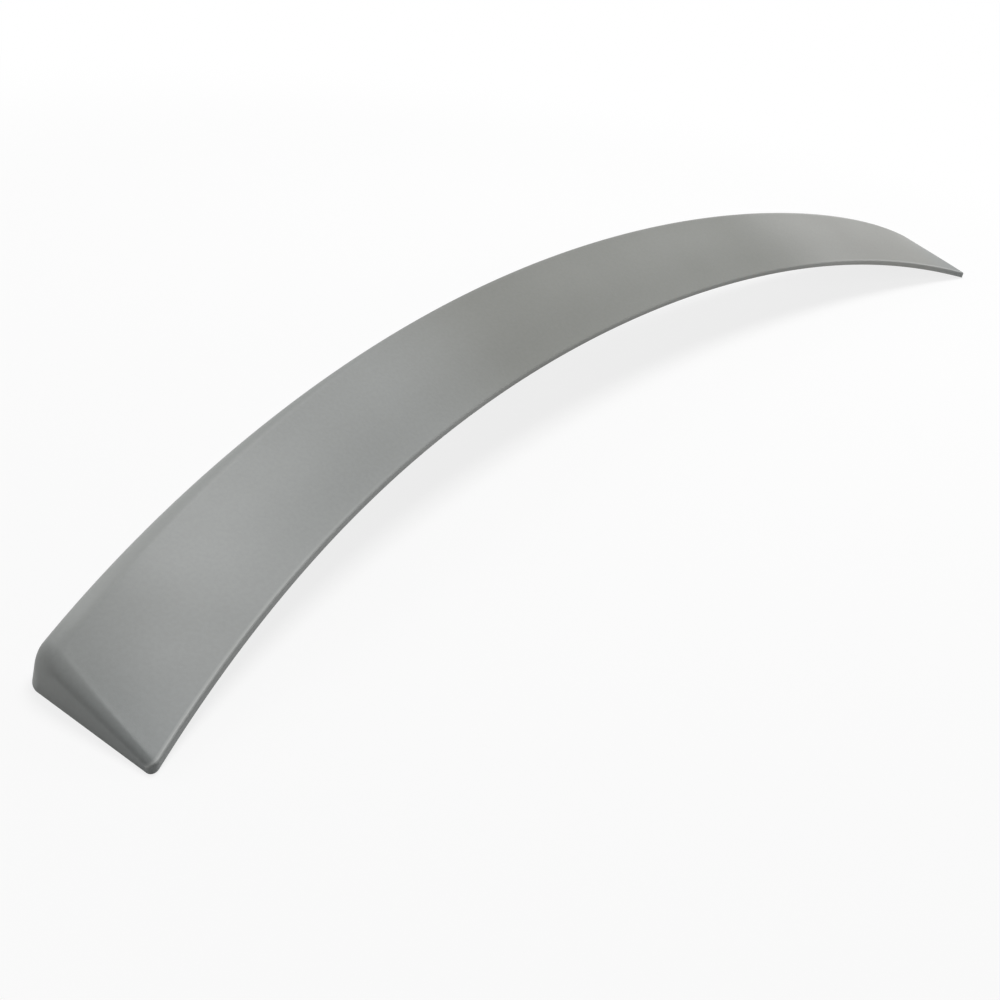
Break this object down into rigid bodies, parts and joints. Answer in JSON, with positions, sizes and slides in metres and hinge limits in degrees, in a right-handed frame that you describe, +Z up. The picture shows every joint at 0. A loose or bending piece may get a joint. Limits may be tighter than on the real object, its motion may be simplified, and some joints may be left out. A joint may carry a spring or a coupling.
{
  "type": "roof spoiler",
  "caption": "Slim swept roof spoiler lip for a car: a crowned wedge shell with rolled closed ends, a soft trailing crest and a ribbed open underside with bonding lands.",
  "frame": {"origin": "the middle of the front edge, on the bonding surface", "axes": "+X along the span across the car, +Y rearward to the trailing crest, +Z up, square to the plane that the feet of both ends touch"},
  "size_m": [1.152, 0.1731, 0.0912],
  "materials": {
    "primer": "satin grey primer on moulded plastic"
  },
  "bodies": {
    "root": {"spoiler_shell": "primer"}
  },
  "joints": []
}
